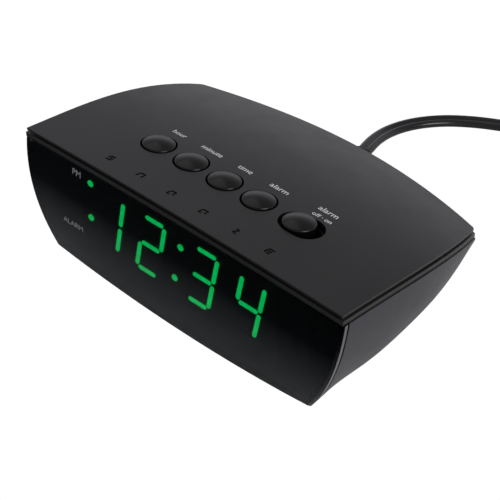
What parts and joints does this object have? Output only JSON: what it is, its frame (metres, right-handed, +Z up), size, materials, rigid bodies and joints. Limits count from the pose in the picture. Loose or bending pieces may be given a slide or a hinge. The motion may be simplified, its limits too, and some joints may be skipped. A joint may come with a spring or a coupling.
{
  "type": "alarm clock",
  "caption": "Mains-powered digital alarm clock with a green LED display, press-down snooze cover, setting buttons, alarm switch and a coiled flat mains lead.",
  "frame": {"origin": "on the table, under the middle of the clock without its lead", "axes": "+X to the right seen from the front, +Y to the back, +Z up"},
  "size_m": [0.1826, 0.1921, 0.0496],
  "materials": {
    "case_black": "satin moulded black",
    "rim_black": "satin moulded black",
    "cover_black": "fine-textured satin black",
    "tinted_lens": "polished smoke-tinted acrylic",
    "key_black": "polished black",
    "steel": "plated",
    "circuit_board": "solder mask",
    "switch_grey": "moulded",
    "led_body": "flat black epoxy",
    "led_lit": "lit green diffuser",
    "led_dark": "unlit diffuser",
    "chip_black": "moulded epoxy",
    "core_iron": "stacked iron",
    "coil_tape": "polyester tape",
    "foot_rubber": "matt",
    "cord_black": "extruded vinyl",
    "tie_black": "coated wire",
    "plug_black": "moulded vinyl",
    "blade_brass": "stamped"
  },
  "bodies": {
    "case": {"lower_case": "case_black", "upper_case": "rim_black", "hinge_pins": "steel", "front_lens": "tinted_lens", "key_board": "circuit_board", "tact_switches": "switch_grey", "snooze_switch": "switch_grey", "slide_switch": "switch_grey", "key_board_screws": "steel", "led_module": "led_body", "lit_segments": "led_lit", "unlit_segments": "led_dark", "indicator_dots": "led_lit", "display_board": "circuit_board", "clock_chip": "chip_black", "power_board": "circuit_board", "capacitors": "chip_black", "rectifier": "chip_black", "transformer_core": "core_iron", "transformer_coil": "coil_tape", "buzzer": "chip_black", "battery_contacts": "steel", "case_screws": "steel", "rubber_feet": "foot_rubber", "power_cord": "cord_black", "cord_tie": "tie_black", "cord_coil": "cord_black", "strain_relief": "cord_black", "plug_body": "plug_black", "plug_blades": "blade_brass"},
    "snooze": {"snooze_cover": "cover_black"},
    "hour_key": {"hour_button": "key_black"},
    "minute_key": {"minute_button": "key_black"},
    "time_key": {"time_button": "key_black"},
    "alarm_key": {"alarm_button": "key_black"},
    "alarm_slider": {"alarm_switch_knob": "key_black", "switch_lever": "switch_grey"},
    "battery_lid": {"battery_door": "case_black"}
  },
  "joints": [
    {"name": "snooze_press", "type": "hinge", "parent": "case", "child": "snooze", "pos_m": [0, 0.02945, 0.0265], "axis": [1, 0, 0], "range_deg": [0, 0.38], "stiffness_Nm_per_rad": 10, "springref_deg": -0.09},
    {"name": "hour_press", "type": "slide", "parent": "case", "child": "hour_key", "axis": [0, -0.16, -0.9871], "range_m": [0, 0.0008], "stiffness_N_per_m": 1500, "springref_m": -0.0002},
    {"name": "minute_press", "type": "slide", "parent": "case", "child": "minute_key", "axis": [0, -0.16, -0.9871], "range_m": [0, 0.0008], "stiffness_N_per_m": 1500, "springref_m": -0.0002},
    {"name": "time_press", "type": "slide", "parent": "case", "child": "time_key", "axis": [0, -0.16, -0.9871], "range_m": [0, 0.0008], "stiffness_N_per_m": 1500, "springref_m": -0.0002},
    {"name": "alarm_press", "type": "slide", "parent": "case", "child": "alarm_key", "axis": [0, -0.16, -0.9871], "range_m": [0, 0.0008], "stiffness_N_per_m": 1500, "springref_m": -0.0002},
    {"name": "alarm_switch_slide", "type": "slide", "parent": "case", "child": "alarm_slider", "axis": [1, 0, 0], "range_m": [0, 0.002]},
    {"name": "battery_door_release", "type": "slide", "parent": "case", "child": "battery_lid", "axis": [0, 0, -1], "range_m": [0, 0.012]}
  ]
}
